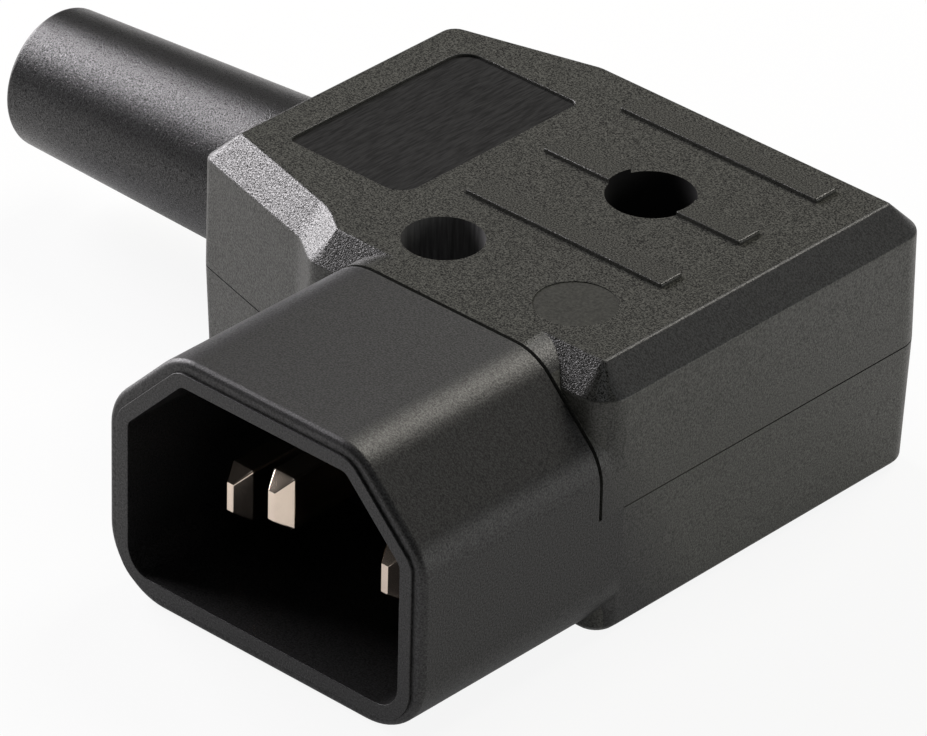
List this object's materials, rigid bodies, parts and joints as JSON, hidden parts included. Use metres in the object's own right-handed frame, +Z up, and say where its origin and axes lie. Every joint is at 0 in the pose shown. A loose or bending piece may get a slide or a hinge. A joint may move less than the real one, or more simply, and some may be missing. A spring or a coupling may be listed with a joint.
{
  "type": "angled iec power plug",
  "caption": "Right-angle mains inlet plug with a coupler shroud around flat pins, a screwed two-part housing and a tapered strain relief boot on one side.",
  "frame": {"origin": "centre of the coupler opening, in the plane of its rim", "axes": "+Y into the plug along the pins, +Z up through the cover, the cable leaves towards -X"},
  "size_m": [0.0682, 0.0501, 0.0206],
  "materials": {
    "housing": "spark-eroded satin black",
    "boot": "fine matte black",
    "contact": "bright nickel plate",
    "terminal": "machined",
    "screw": "zinc plate",
    "clamp": "satin black"
  },
  "bodies": {
    "root": {"base_shell": "housing", "cover_shell": "housing", "strain_relief_boot": "boot", "line_pin": "contact", "neutral_pin": "contact", "earth_pin": "contact", "line_terminal": "terminal", "neutral_terminal": "terminal", "earth_terminal": "terminal", "line_terminal_screw": "screw", "neutral_terminal_screw": "screw", "earth_terminal_screw": "screw", "cable_clamp": "clamp", "cable_clamp_screw_front": "screw", "cable_clamp_screw_rear": "screw", "housing_screw": "screw"}
  },
  "joints": []
}
